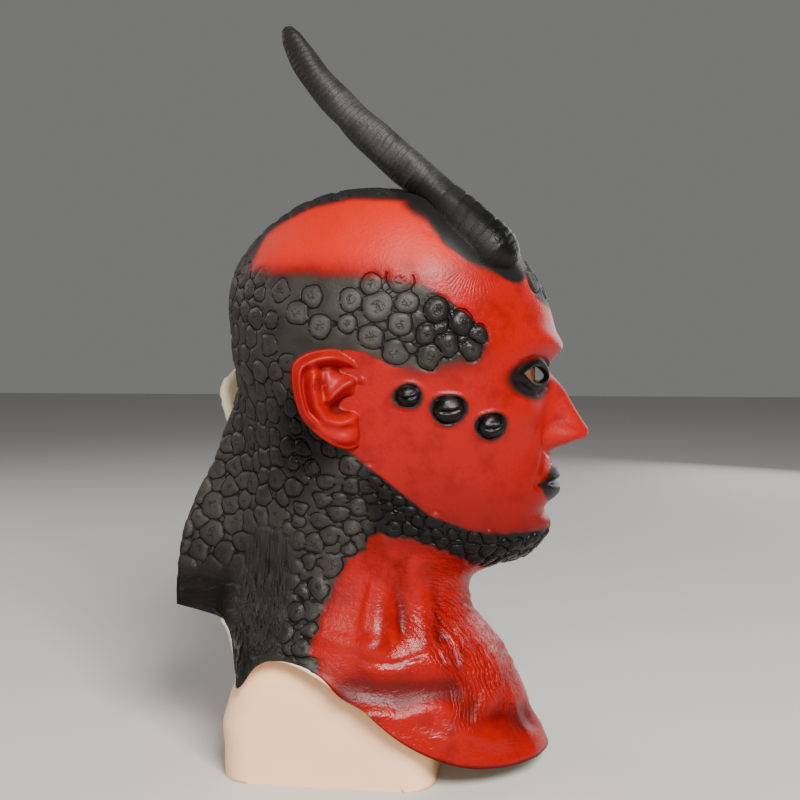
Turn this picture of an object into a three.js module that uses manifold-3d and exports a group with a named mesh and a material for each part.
// A devil mask of cast latex, worn over the pale display head that holds it up.
// Millimetres, +Z up, and the face looks along -Y. The origin is on the midline of the head's flat underside.
// Pieces: the mask with its ears and cheek knobs, two horns glued to its brow, and the display head.
import * as THREE from "three";
import { mergeVertices, mergeGeometries } from "three/addons/utils/BufferGeometryUtils.js";
import Module from "manifold-3d";

const wasm = await Module();
wasm.setup();

// Driving dimensions

const WALL = 2.6; // latex of the mask
const GLUE_GAP = 0.3; // between a horn's foot and the skin under it
const CROWN_GAP = 0.4; // between the display head's crown and the mask that rests on it
const HEAD_GAP = 3; // round the rest of the head

// A point of a profile is given as forward and height, or as lateral, forward and height. Forward is -Y.
// Each ring of the head goes from the midline in front, by the widest point at the side, to the midline or
// the slit's edge behind. gap is half the slit's width and flap says how far the edge stands straight back.
const RINGS = [
  { name: "crown", front: [33, 374.5], side: [0, 33, 374.5], back: [33, 374.5], gap: 0, flap: 0 },
  { name: "upper vault", front: [74, 365.5], side: [38, 33, 369], back: [-8, 368.5], gap: 0, flap: 0 },
  { name: "vault", front: [105, 347], side: [62, 33, 353], back: [-38.5, 352], gap: 0, flap: 0 },
  { name: "hairline", front: [130, 323], side: [75.5, 32, 329], back: [-61, 327], gap: 0, flap: 0 },
  { name: "forehead", front: [142, 300], side: [80.5, 30, 304], back: [-68, 303], gap: 0, flap: 0 },
  { name: "brow", front: [147, 275], side: [80, 27, 281], back: [-67, 284], gap: 0, flap: 0 },
  { name: "eyes", front: [145, 254], side: [77.5, 24, 259], back: [-66, 264], gap: 0, flap: 0 },
  { name: "cheekbones", front: [143, 229], side: [74, 21, 234], back: [-65.5, 240], gap: 4, flap: 0.35 },
  { name: "nose base", front: [143, 207], side: [70, 18, 212], back: [-74, 216], gap: 6, flap: 0.7 },
  { name: "mouth", front: [143, 184], side: [66, 18, 191], back: [-80, 195], gap: 11, flap: 0.9 },
  { name: "chin", front: [140, 158], side: [61, 20, 172], back: [-88, 177], gap: 16, flap: 1 },
  { name: "jaw edge", front: [131, 138], side: [57, 20, 155], back: [-94.5, 160], gap: 20, flap: 1 },
  { name: "under the chin", front: [111, 130.5], side: [54, 17, 142], back: [-97.5, 146], gap: 24, flap: 1 },
  { name: "throat", front: [94, 121], side: [54, 13, 128], back: [-98.5, 133], gap: 27, flap: 1 },
  { name: "neck", front: [92.5, 107], side: [58, 9, 111], back: [-99, 122], gap: 29, flap: 1 },
  { name: "collar", front: [98.5, 91], side: [64, 5, 97], back: [-99.2, 114], gap: 31, flap: 1 },
  { name: "breast", front: [118.5, 67], side: [71, 2, 84], back: [-99, 108], gap: 31.5, flap: 1 },
];
const RING = Object.fromEntries(RINGS.map(({ name }, i) => [name, i]));
const SLIT_TOP = RING.eyes; // the ring at which the slit up the nape ends
const LAST_RING = RINGS.length - 1;

// The hem, from the tip of the bib round to the foot of the flap: share of the way, lateral, forward, height.
const HEM = [
  [0.0, 0, 145, 11],
  [0.1, 27, 138, 12.5],
  [0.2, 50, 116, 12.5],
  [0.3, 66, 88, 18],
  [0.4, 76, 57, 34],
  [0.5, 79, 25, 60],
  [0.58, 77, -3, 78],
  [0.65, 73.5, -29, 79],
  [0.703, 71, -46.5, 61.5], // the corner
  [0.77, 66, -48.5, 84],
  [0.83, 58, -54, 96],
  [0.89, 46, -66, 99.5],
  [1.0, 32, -98.8, 103],
];
const SKIRT_STRAIGHT = 0.4; // share of the last fall to the hem that follows the ring above
const LEFT_FLAP_BULGE = 14; // the left flap's upper edge stands back and shows the bare inside

// Rows of facets between rings, all even, and facets from the front midline round to the slit, on each side.
const ROW_BANDS = [
  ["crown", "brow", 8],
  ["brow", "eyes", 4],
  ["eyes", "mouth", 14],
  ["mouth", "neck", 8],
  ["neck", "breast", 4],
];
const SKIRT_ROWS = 4;
const COLUMNS = 26;

// Ridges and furrows seen from the side: rise, width, and the forward and height of each bend.
const FOLDS = [
  { name: "jaw band", rise: 1.8, width: 9, path: [[24, 200], [48, 182], [74, 162], [100, 154], [128, 151]] },
  { name: "temple band", rise: 1.6, width: 15, path: [[-8, 290], [50, 284], [94, 275]] },
  { name: "neck tendon", rise: 3, width: 7, path: [[42, 148], [37, 92]] },
  { name: "tendon furrow", rise: -2.5, width: 4, path: [[46, 128], [51, 96]] },
  { name: "second tendon", rise: 2.5, width: 5, path: [[54, 128], [62, 91]] },
  { name: "second furrow", rise: -2, width: 5, path: [[65, 112], [73, 90]] },
  { name: "throat fold", rise: 2, width: 5, path: [[78, 106], [88, 86]] },
  { name: "shoulder fold", rise: 2.5, width: 6, path: [[0, 97], [39, 88]] },
  { name: "collar hollow", rise: -3.5, width: 6.5, path: [[13, 73], [57, 74], [82, 68]] },
  { name: "collarbone", rise: 3, width: 4.5, path: [[22, 65], [64, 64], [80, 59]] },
  { name: "breast fold", rise: 2.5, width: 6, path: [[92, 88], [107, 73], [110, 61], [104, 48]] },
  { name: "bib hollow", rise: -3, width: 7, path: [[98, 47], [131, 33]] },
  { name: "bib swell", rise: 2, width: 8, path: [[86, 36], [112, 30]] },
];

const EYE = { lateral: 31.5, height: 254, halfWidth: 13.5, halfOpening: 5.2, tilt: 0.1 };
const EAR = { lateral: 84, forward: 14.5, height: 240, turn: 28, lean: 10, halfWidth: 23.5, halfHeight: 31 };
// The knobs on each cheek, where they show from the side: forward, height, radius.
const KNOBS = [
  [58.5, 242, 7.2],
  [83, 233.5, 9.6],
  [108.5, 224, 8.6],
];
const KNOB_RISE = 4.2;

// The horn's own line from the brow to the tip: lateral, forward, height.
const HORN_LINE = [
  [35, 118.5, 318.5],
  [38.5, 109.5, 331],
  [40, 100, 341.5],
  [40.5, 87, 353.5],
  [41, 72, 367.5],
  [41.5, 55.5, 383.5],
  [42, 39, 397.5],
  [43, 19.5, 414.5],
  [44, 1, 435],
  [44.5, -11.5, 453.5],
  [45, -20.5, 469.5],
];
// Radius along the horn, as share of its length and radius.
const HORN_RADII = [
  [0, 0],
  [0.012, 8],
  [0.035, 12.8],
  [0.07, 14.6],
  [0.11, 14.4],
  [0.16, 13.2],
  [0.24, 12.2],
  [0.38, 10.8],
  [0.55, 10.2],
  [0.75, 9.6],
  [0.88, 8],
  [0.96, 5.4],
  [0.99, 3],
  [1, 0],
];
const HORN_RIDGES = { depth: 0.5, first: 0.1, last: 0.62, count: 14 };

// The display head below the mask's brow: forward limit, backward limit, half width, height.
const HEAD_FORM = [
  [134, -52, 67, 236],
  [133, -50, 63, 213],
  [132, -48, 59, 191],
  [130, -46, 54, 172],
  [121, -44, 49, 157],
  [92, -42, 46, 145],
  [68, -41, 45, 134],
  [60, -40, 45, 120],
  [60, -40, 48, 102],
  [57, -38, 53, 84],
  [54, -36, 58, 66],
  [49, -33, 62, 42],
];
const FACE_GAP = 6; // extra room in front of the display head's brow
// The bust below it, seen from the side: forward, height. Its ends are flat and its edges rounded.
const BUST_OUTLINE = [
  [64, -20],
  [72, 12],
  [68, 31],
  [50, 45],
  [23, 63],
  [-6, 80],
  [-31, 82],
  [-49, 68],
  [-59, 46],
  [-61.5, 24],
  [-46, -20],
];
const BUST_HALF_WIDTH = 66;
const BUST_ROUNDING = 14;

// Small helpers

const clamp = (x, lo = 0, hi = 1) => Math.min(hi, Math.max(lo, x));
const mix = (a, b, w) => a + (b - a) * w;
const bell = (x, width) => Math.exp(-((x / width) ** 2));
const step = (lo, hi, x) => {
  const w = clamp((x - lo) / (hi - lo));
  return w * w * (3 - 2 * w);
};

// A smooth curve through numbers a, b, c, d, between b and c.
function passing(a, b, c, d, w) {
  return (
    b +
    0.5 * w * (c - a + w * (2 * a - 5 * b + 4 * c - d + w * (3 * (b - c) + d - a)))
  );
}

function bezier(a, b, c, d, w) {
  const u = 1 - w;
  return u * u * u * a + 3 * u * u * w * b + 3 * u * w * w * c + w * w * w * d;
}

// A table whose first column is its key, read smoothly at any key.
function lookUp(table, key, column) {
  const last = table.length - 2;
  let i = 0;
  while (i < last && key > table[i + 1][0]) i++;
  const at = (k) => table[clamp(k, 0, last + 1)][column];
  const w = clamp((key - table[i][0]) / (table[i + 1][0] - table[i][0]));
  return passing(at(i - 1), at(i), at(i + 1), at(i + 2), w);
}

// The skin of the head

// One number of the ring at a place t along the list of rings. Before the crown the profile runs on over it.
function ringValue(t, read, mirror = (x) => x) {
  const last = RINGS.length - 2;
  const i = clamp(Math.floor(t), 0, last);
  const at = (k) => (k < 0 ? mirror(read(RINGS[1])) : read(RINGS[Math.min(k, last + 1)]));
  return passing(at(i - 1), at(i), at(i + 1), at(i + 2), t - i);
}

// A point of ring t, a share v of the way from the front midline (0) to the slit's edge (1).
function ringPoint(t, v) {
  const crownForward = RINGS[0].side[1];
  const over = (x) => 2 * crownForward - x;
  const front = ringValue(t, (r) => r.front[0], over);
  const frontHeight = ringValue(t, (r) => r.front[1]);
  const side = ringValue(t, (r) => r.side[0], (x) => -x);
  const sideForward = ringValue(t, (r) => r.side[1]);
  const sideHeight = ringValue(t, (r) => r.side[2]);
  const back = ringValue(t, (r) => r.back[0], over);
  const backHeight = ringValue(t, (r) => r.back[1]);
  const gap = t <= SLIT_TOP ? 0 : ringValue(t, (r) => r.gap);
  const flap = clamp(ringValue(t, (r) => r.flap));
  const round = 0.5523; // a quarter circle's handle
  if (v < 0.5) {
    const w = v / 0.5;
    const face = step(RING.forehead, RING.cheekbones, t) * (1 - step(RING["jaw edge"], RING.throat, t));
    const lateral = bezier(0, side * mix(round, 0.66, face), side, side, w); // the face is flatter in front
    const depth = front - sideForward;
    const forward = bezier(
      front,
      front,
      sideForward + depth * mix(round, 0.62, face),
      sideForward,
      w,
    );
    return [lateral, forward, mix(sideHeight, frontHeight, Math.cos((w * Math.PI) / 2) ** 2)];
  }
  const w = (v - 0.5) / 0.5;
  const depth = sideForward - back;
  const lateral = bezier(
    side,
    mix(side, side - 1, flap),
    mix(gap + (side - gap) * round, gap + 2, flap),
    gap,
    w,
  );
  const forward = bezier(
    sideForward,
    sideForward - depth * round,
    mix(back, back + depth * 0.42, flap),
    back,
    w,
  );
  return [lateral, forward, mix(sideHeight, backHeight, Math.sin((w * Math.PI) / 2) ** 2)];
}

// A point of the smooth skin. t runs over the rings and then one more unit down the skirt to the hem.
function skinBase(t, v) {
  if (t <= LAST_RING) return ringPoint(t, v);
  const w = t - LAST_RING;
  const [above, edge] = [ringPoint(LAST_RING - 0.5, v), ringPoint(LAST_RING, v)];
  const hem = [1, 2, 3].map((column) => lookUp(HEM, v, column));
  return edge.map((b, k) => {
    const handle = mix(mix(b, hem[k], 0.5), b + 0.8 * (b - above[k]), SKIRT_STRAIGHT);
    return (1 - w) * (1 - w) * b + 2 * w * (1 - w) * handle + w * w * hem[k];
  });
}

// How far the face stands forward of the smooth head at a lateral distance and height.
function faceRelief(lateral, height) {
  const L = Math.abs(lateral);
  const z = height;
  const browHeight = 272 + 4 * bell(L - 34, 16);
  const brow = 4.5 * bell(z - browHeight, 8) * (1 - step(34, 56, L));
  const root = -4.5 * bell(L, 11) * bell(z - 257, 8);
  const socket = -9 * bell(L - EYE.lateral, 15) * bell(z - EYE.height, 11);
  const ball = 1 - ((L - EYE.lateral) / 17) ** 2 - ((z - EYE.height) / 12) ** 2;
  const lids = 6.5 * Math.sqrt(Math.max(0, ball));
  const cheekbone = 3.5 * bell(L - 48, 15) * bell(z - 229, 13);
  const cheekHollow = -3 * bell(L - 52, 13) * bell(z - 197, 15);
  const down = clamp((260 - z) / 41); // from the nose's root to its tip
  const ridge = 25 * down ** 1.1 * step(203, 215, z);
  const nose = ridge * Math.exp(-((L / mix(8, 12.5, down)) ** 2.4));
  const wings = 8 * bell(L - 12.5, 5.5) * bell(z - 214, 6.5);
  const mouth = 2.5 * bell(L, 28) * bell(z - 184, 17);
  const upperLip = 4 * bell(z - 190.5, 4.6) * Math.exp(-((L / 23) ** 4));
  const lowerLip = 5 * bell(z - 178.5, 4.8) * Math.exp(-((L / 20) ** 4));
  const lipLine = -3 * bell(z - 185, 2.2) * Math.exp(-((L / 25) ** 6));
  const underLip = -3.2 * bell(z - 168.5, 4.5) * bell(L, 22);
  const chin = 5 * bell(z - 154, 9) * bell(L, 18);
  const upper = brow + root + socket + lids + cheekbone + cheekHollow + nose + wings;
  return upper + mouth + upperLip + lowerLip + lipLine + underLip + chin;
}

// How far the folds raise the skin at a forward and height seen from the side.
function foldRise(forward, z) {
  let rise = 0;
  for (const { rise: height, width, path } of FOLDS) {
    let near = Infinity;
    for (let i = 0; i + 1 < path.length; i++) {
      const [[f0, z0], [f1, z1]] = [path[i], path[i + 1]];
      const along = (forward - f0) * (f1 - f0) + (z - z0) * (z1 - z0);
      const w = clamp(along / ((f1 - f0) ** 2 + (z1 - z0) ** 2));
      near = Math.min(near, Math.hypot(forward - mix(f0, f1, w), z - mix(z0, z1, w)));
    }
    rise += height * bell(near, width);
  }
  return rise;
}

// A point of the smooth skin with the face on it. side is 1 for the mask's left half and -1 for its right.
function smoothSkin(t, v, side, relief = 1) {
  const [lateral, forward, z] = skinBase(t, v);
  const facing = 1 - step(0.3, 0.5, v);
  let ahead = forward + relief * facing * faceRelief(lateral, z);
  const slit = step(SLIT_TOP, SLIT_TOP + 0.6, t);
  if (side > 0) ahead -= LEFT_FLAP_BULGE * slit * bell(z - 241, 17) * step(0.8, 1, v);
  return new THREE.Vector3(side * lateral, -ahead, z);
}

// The outward direction of the smooth skin. On the midline both halves share one.
function skinNormal(t, v, side) {
  if (t === 0) return new THREE.Vector3(0, 0, 1);
  const onMidline = v < 0.002 || (v > 0.998 && t <= SLIT_TOP);
  const half = onMidline ? -1 : side;
  const d = 0.02;
  const down = clamp(t, d, LAST_RING + 1 - d);
  const round = clamp(v, 0.002, 0.998);
  const along = smoothSkin(down + d, round, half, 0.5).sub(smoothSkin(down - d, round, half, 0.5));
  const across = smoothSkin(down, round + 0.001, half, 0.5).sub(smoothSkin(down, round - 0.001, half, 0.5));
  const normal = across.cross(along).multiplyScalar(-half);
  if (onMidline) normal.setX(0);
  return normal.normalize();
}

// A point of the finished skin, or of a like surface moved outwards by an offset.
function skin(t, v, side, offset = 0, relief = 1) {
  const p = smoothSkin(t, v, side, relief);
  const moved = offset + relief * foldRise(-p.y, p.z) * (1 - step(0.8, 0.95, v));
  return p.addScaledVector(skinNormal(t, v, side), moved);
}

// The places of the rows along the rings, and how many rows come before a ring.
function rowPlaces() {
  const places = [];
  for (const [from, to, rows] of ROW_BANDS)
    for (let i = 0; i < rows; i++) places.push(mix(RING[from], RING[to], i / rows));
  for (let i = 0; i <= SKIRT_ROWS; i++) places.push(LAST_RING + i / SKIRT_ROWS);
  return places;
}

function rowsBefore(name) {
  const bands = ROW_BANDS.slice(0, ROW_BANDS.findIndex(([from]) => from === name));
  return bands.reduce((sum, [, , rows]) => sum + rows, 0);
}

// The place round the ring of a column from 0 at the front midline to 1. The front has the closest columns.
const columnPlace = (share) => mix(share ** 1.5, share, 0.3);

// A grid of points over the whole skin, moved outwards by an offset, with every n-th row and column kept.
function skinGrid(offset, relief, n = 1) {
  const rows = rowPlaces().filter((_, i) => i % n === 0);
  const half = COLUMNS / n;
  return rows.map((t) =>
    Array.from({ length: 2 * half + 1 }, (_, j) => {
      const side = j < half ? 1 : -1;
      const v = columnPlace(Math.abs(j - half) / half);
      const p = skin(t, v, side, offset, relief);
      if (v === 0 || (v === 1 && t <= SLIT_TOP)) p.x = 0;
      return p;
    }),
  );
}

// Meshes and solids

function geometryOf(triangles) {
  const positions = triangles.flat().flatMap((p) => [p.x, p.y, p.z]);
  const made = new THREE.BufferGeometry();
  made.setAttribute("position", new THREE.Float32BufferAttribute(positions, 3));
  return made;
}

function solidOf(geometry) {
  const bare = (geometry.index ? geometry.toNonIndexed() : geometry).clone();
  for (const name of Object.keys(bare.attributes)) if (name !== "position") bare.deleteAttribute(name);
  const merged = mergeVertices(bare, 1e-3);
  const corners = Array.from(merged.index.array);
  const kept = corners.filter((_, i) => {
    const [a, b, c] = corners.slice(i - (i % 3), i - (i % 3) + 3);
    return a !== b && b !== c && c !== a;
  });
  return new wasm.Manifold(
    new wasm.Mesh({
      numProp: 3,
      vertProperties: merged.attributes.position.array,
      triVerts: new Uint32Array(kept),
    }),
  );
}

function geometryFrom(solid) {
  const mesh = solid.getMesh();
  const made = new THREE.BufferGeometry();
  made.setAttribute("position", new THREE.BufferAttribute(new Float32Array(mesh.vertProperties), 3));
  made.setIndex(new THREE.BufferAttribute(new Uint32Array(mesh.triVerts), 1));
  const shown = made.toNonIndexed();
  shown.computeVertexNormals();
  return shown;
}

// The triangles between the rows of a grid, leaving out those without area.
function sheetTriangles(grid, outward) {
  const found = [];
  const add = (a, b, c) => {
    if (a.distanceTo(b) < 1e-3 || b.distanceTo(c) < 1e-3 || c.distanceTo(a) < 1e-3) return;
    found.push(outward ? [a, b, c] : [a, c, b]);
  };
  for (let i = 0; i + 1 < grid.length; i++)
    for (let j = 0; j + 1 < grid[i].length; j++) {
      const [a, b, c, d] = [grid[i][j], grid[i][j + 1], grid[i + 1][j + 1], grid[i + 1][j]];
      if (a.distanceTo(c) < b.distanceTo(d)) {
        add(a, b, c);
        add(a, c, d);
      } else {
        add(a, b, d);
        add(b, c, d);
      }
    }
  return found;
}

const middleOf = (ring) => ring.reduce((sum, p) => sum.add(p), new THREE.Vector3()).divideScalar(ring.length);

// The open edge of a grid: down one side of the slit, along the hem and up the slit's other side.
function openEdge(grid, slitRow) {
  const last = grid.length - 1;
  const down = grid.slice(slitRow, last).map((row) => row[0]);
  const up = grid.slice(slitRow, last).map((row) => row[row.length - 1]);
  return [...down, ...grid[last], ...up.reverse()];
}

// The latex shell: a full grid outside, one of half as many rows inside, and the cut edge between them.
function shellSolid() {
  const outer = skinGrid(0, 1);
  const inner = skinGrid(-WALL, 0.8, 2);
  const slitRow = rowsBefore("eyes");
  const outerEdge = openEdge(outer, slitRow);
  const innerEdge = openEdge(inner, slitRow / 2);
  const rim = [];
  for (let k = 0; k + 1 < innerEdge.length; k++) {
    const [a, b] = [innerEdge[k], innerEdge[k + 1]];
    const [p, q, r] = outerEdge.slice(2 * k, 2 * k + 3);
    rim.push([p, q, a], [q, b, a], [q, r, b]);
  }
  const faces = [...sheetTriangles(outer, true), ...sheetTriangles(inner, false), ...rim];
  return solidOf(geometryOf(faces));
}

// The whole upper head as one closed lump, larger or smaller than the skin by an offset.
function headLump(offset, relief, lastRow) {
  const grid = skinGrid(offset, relief).slice(0, lastRow);
  for (const row of grid) row[row.length - 1] = row[0]; // closed behind
  const foot = grid[grid.length - 1];
  const middle = middleOf(foot);
  const cap = foot.slice(1).map((p, j) => [foot[j], p, middle]);
  return solidOf(geometryOf([...sheetTriangles(grid, true), ...cap]));
}

// The skin point that shows at a forward and height from the side, with its outward direction.
function skinAt(forward, z, side) {
  let best = { miss: Infinity };
  for (let t = 3; t < 11; t += 0.04)
    for (let v = 0.05; v < 0.95; v += 0.01) {
      const p = skin(t, v, side);
      const miss = Math.hypot(-p.y - forward, p.z - z);
      if (miss < best.miss) best = { miss, p, normal: skinNormal(t, v, side) };
    }
  return best;
}

// A knob: a low dome on the cheek, its lower half hidden in the wall.
function knobSolid([forward, z, radius], side) {
  const { p, normal } = skinAt(forward, z, side);
  const dome = new THREE.SphereGeometry(1, 10, 5);
  dome.scale(radius, KNOB_RISE, radius);
  dome.applyQuaternion(new THREE.Quaternion().setFromUnitVectors(new THREE.Vector3(0, 1, 0), normal));
  dome.translate(p.x, p.y, p.z);
  return solidOf(dome);
}

// How far the ear's face stands out at a share rho of the way to its edge and an angle from straight back.
function earRelief(rho, angle, back, up) {
  const rimmed = step(-0.95, -0.35, Math.sin(angle + 0.45)); // the rim runs from the front over the top
  const behind = step(-0.15, 0.35, Math.cos(angle));
  const helix = 4.4 * bell(rho - 0.87, 0.11) * rimmed;
  const groove = -1.6 * bell(rho - 0.7, 0.08) * rimmed;
  const antihelix = 3.4 * bell(rho - 0.52, 0.11) * behind;
  const bowl = -8 * bell(Math.hypot((back + 5) / 9, (up + 2) / 12), 1);
  const tragus = 4.5 * bell(Math.hypot(back + 17, up + 2), 5);
  const lobe = 1.5 * bell(Math.hypot(back + 4, up + 25), 7);
  return 2 + helix + groove + antihelix + bowl + tragus + lobe;
}

// The ear, worked from a ball: its outer half becomes the hollowed face and its inner half the root.
function earSolid(side) {
  const ball = new THREE.SphereGeometry(1, 20, 14);
  ball.rotateX(Math.PI / 2);
  const place = ball.attributes.position;
  const turn = THREE.MathUtils.degToRad(EAR.turn);
  const lean = THREE.MathUtils.degToRad(EAR.lean);
  for (let i = 0; i < place.count; i++) {
    const [x, y, depth] = [place.getX(i), place.getY(i), place.getZ(i)];
    const angle = Math.atan2(y, x);
    const rho = Math.asin(clamp(Math.hypot(x, y))) / (Math.PI / 2);
    const full = 1 + 0.07 * bell(angle - 0.9, 0.5); // the top stands a little up and back
    const back = EAR.halfWidth * rho * full * Math.cos(angle) * (1 + 0.2 * Math.sin(angle));
    const up = EAR.halfHeight * rho * full * Math.sin(angle);
    const root = 2 + 14 * bell(back + 10, 12) * bell(up, 18);
    const face = earRelief(rho, angle, back, up);
    const out = depth >= 0 ? face * step(0, 0.3, depth) : -root * step(0, 0.4, -depth);
    const leaned = [back * Math.cos(lean) + up * Math.sin(lean), up * Math.cos(lean) - back * Math.sin(lean)];
    const lateral = EAR.lateral + leaned[0] * Math.sin(turn) + out * Math.cos(turn);
    const forward = EAR.forward - leaned[0] * Math.cos(turn) + out * Math.sin(turn);
    place.setXYZ(i, side * lateral, -forward, EAR.height + leaned[1]);
  }
  return solidOf(side > 0 ? ball : turnedRound(ball));
}

// The same triangles facing the other way.
function turnedRound(geometry) {
  const made = geometry.index ? geometry.toNonIndexed() : geometry.clone();
  const place = made.attributes.position;
  for (let i = 0; i < place.count; i += 3) {
    const [b, c] = [1, 2].map((k) => new THREE.Vector3().fromBufferAttribute(place, i + k));
    place.setXYZ(i + 1, c.x, c.y, c.z);
    place.setXYZ(i + 2, b.x, b.y, b.z);
  }
  return made;
}

// The almond opening of an eye, cut straight back through the wall.
function eyeCutter(side) {
  const outline = new THREE.Shape();
  const { halfWidth, halfOpening, tilt } = EYE;
  outline.moveTo(-halfWidth, -tilt * halfWidth);
  outline.quadraticCurveTo(0, 2 * halfOpening, halfWidth, tilt * halfWidth);
  outline.quadraticCurveTo(0, -2 * halfOpening, -halfWidth, -tilt * halfWidth);
  const prism = new THREE.ExtrudeGeometry(outline, { depth: 70, bevelEnabled: false, curveSegments: 5 });
  prism.rotateX(Math.PI / 2); // it runs back from in front of the face
  const mirrored = side > 0 ? prism : turnedRound(prism.scale(-1, 1, 1));
  mirrored.translate(side * EYE.lateral, -100, EYE.height);
  return solidOf(mirrored);
}

function maskSolid() {
  const core = headLump(-WALL / 2, 0.9, rowsBefore("neck") - 4);
  const sides = [1, -1];
  const raised = sides.flatMap((side) => [earSolid(side), ...KNOBS.map((knob) => knobSolid(knob, side))]);
  const trimmed = raised.map((solid) => solid.subtract(core));
  let mask = shellSolid();
  for (const solid of trimmed) mask = mask.add(solid);
  for (const side of sides) mask = mask.subtract(eyeCutter(side));
  return mask;
}

// The place of a row along the horn. The rounded foot and the tip have the closest rows.
const hornPlace = (share) => clamp(mix(share ** 1.8, 1 - (1 - share) ** 1.5, 0.5));

// A horn: a ringed, tapering profile turned on its axis and then bent along the horn's line.
function hornSolid(side) {
  const line = new THREE.CatmullRomCurve3(
    HORN_LINE.map(([lateral, forward, z]) => new THREE.Vector3(side * lateral, -forward, z)),
  );
  const stations = 24;
  const radius = (share) => {
    const { depth, first, last, count } = HORN_RIDGES;
    const along = clamp((share - first) / (last - first));
    const fading = step(0, 0.1, along) * (1 - step(0.7, 1, along));
    const ridge = depth * Math.cos(2 * Math.PI * count * along) * fading;
    return Math.max(0, lookUp(HORN_RADII, share, 1) + ridge);
  };
  const profile = [new THREE.Vector2(0, 0)];
  for (let i = 0; i <= stations; i++) {
    const share = hornPlace(i / stations);
    profile.push(new THREE.Vector2(i === stations ? 0 : radius(share), share));
  }
  const horn = new THREE.LatheGeometry(profile, 12);
  const place = horn.attributes.position;
  const up = new THREE.Vector3(0, 0, 1);
  for (let i = 0; i < place.count; i++) {
    const share = clamp(place.getY(i));
    const centre = line.getPointAt(share);
    const along = line.getTangentAt(share);
    const across = new THREE.Vector3().crossVectors(along, up).normalize();
    const above = new THREE.Vector3().crossVectors(across, along);
    const p = centre.addScaledVector(across, place.getX(i)).addScaledVector(above, place.getZ(i));
    place.setXYZ(i, p.x, p.y, p.z);
  }
  const made = solidOf(horn);
  const closed = made.volume() < 0 ? solidOf(turnedRound(horn)) : made;
  return closed.subtract(headLump(GLUE_GAP, 1, rowsBefore("brow") + 2));
}

// The display head: an egg that fills the mask's vault, a neck, and a bust with flat ends.
function displayHeadSolid() {
  const rows = rowPlaces().slice(0, rowsBefore("brow") + 2).filter((_, i) => i % 2 === 0);
  const places = Array.from({ length: 13 }, (_, j) => j / 12);
  const ringOf = (point) => [
    ...places.map((v) => point(1 - v, 1)),
    ...places.slice(1).map((v) => point(v, -1)),
  ];
  const egg = rows.map((t) =>
    ringOf((v, side) => {
      const inFront = step(RING.hairline, RING.brow, t) * (1 - step(0.1, 0.6, v));
      const room = WALL + mix(CROWN_GAP, HEAD_GAP, step(0, 1, t)) + FACE_GAP * inFront;
      const p = skin(t, v, side, -room, 0);
      if (v === 0 || v === 1) p.x = 0;
      return p;
    }),
  );
  const neck = HEAD_FORM.map(([front, back, width, z]) =>
    ringOf((v, side) => {
      const angle = v * Math.PI;
      const forward = mix(back, front, 0.5 + 0.5 * Math.cos(angle));
      return new THREE.Vector3(side * width * Math.sin(angle), -forward, z);
    }),
  );
  const grid = [...egg, ...neck];
  const foot = grid[grid.length - 1];
  const low = new THREE.Vector3(0, 0, foot[0].z);
  const cap = foot.slice(1).map((p, j) => [foot[j], p, low]);
  const head = solidOf(geometryOf([...sheetTriangles(grid, true), ...cap]));
  return head.add(bustSolid());
}

// The bust runs straight across with both ends rounded over. Its sections shrink evenly towards each end.
function bustSolid() {
  const points = BUST_OUTLINE.map(([forward, z]) => new THREE.Vector2(forward, z));
  const curve = new THREE.SplineCurve([...points, points[0]]);
  const outline = curve.getPoints(2 * points.length).slice(0, -1);
  const inward = outline.map((_, i) => {
    const before = outline[(i + outline.length - 1) % outline.length];
    const after = outline[(i + 1) % outline.length];
    const along = after.clone().sub(before).normalize();
    return new THREE.Vector2(-along.y, along.x);
  });
  const quarter = [90, 60, 30, 0].map(THREE.MathUtils.degToRad);
  const section = (angle, side) => {
    const lateral = side * (BUST_HALF_WIDTH - BUST_ROUNDING * (1 - Math.sin(angle)));
    const inset = BUST_ROUNDING * (1 - Math.cos(angle));
    const ring = outline.map((p, i) => p.clone().addScaledVector(inward[i], inset));
    return [...ring, ring[0]].map((p) => new THREE.Vector3(lateral, -p.x, p.y));
  };
  const grid = [...quarter.map((a) => section(a, -1)), ...quarter.reverse().map((a) => section(a, 1))];
  const faces = sheetTriangles(grid, false);
  for (const [ring, facing] of [[grid[0], 1], [grid[grid.length - 1], -1]]) {
    const middle = middleOf(ring.slice(1));
    for (let j = 0; j + 1 < ring.length; j++) {
      faces.push(facing > 0 ? [ring[j], ring[j + 1], middle] : [ring[j + 1], ring[j], middle]);
    }
  }
  const block = solidOf(geometryOf(faces));
  const below = new THREE.BoxGeometry(400, 400, 100).translate(0, 0, -50);
  return block.subtract(solidOf(below));
}

// Materials and the finished object

const latexRed = new THREE.MeshStandardMaterial({ color: 0xbf2a20, roughness: 0.45, metalness: 0 });
const latexBlack = new THREE.MeshStandardMaterial({ color: 0x2b2a29, roughness: 0.5, metalness: 0 });
const paleVinyl = new THREE.MeshStandardMaterial({ color: 0xf1dccb, roughness: 0.5, metalness: 0 });

function named(name, solid, material) {
  const mesh = new THREE.Mesh(geometryFrom(solid), material);
  mesh.name = name;
  return mesh;
}

const devilMask = new THREE.Group();
devilMask.add(named("mask", maskSolid(), latexRed));
devilMask.add(named("horn_right", hornSolid(-1), latexBlack));
devilMask.add(named("horn_left", hornSolid(1), latexBlack));
devilMask.add(named("display_head", displayHeadSolid(), paleVinyl));

export default devilMask;
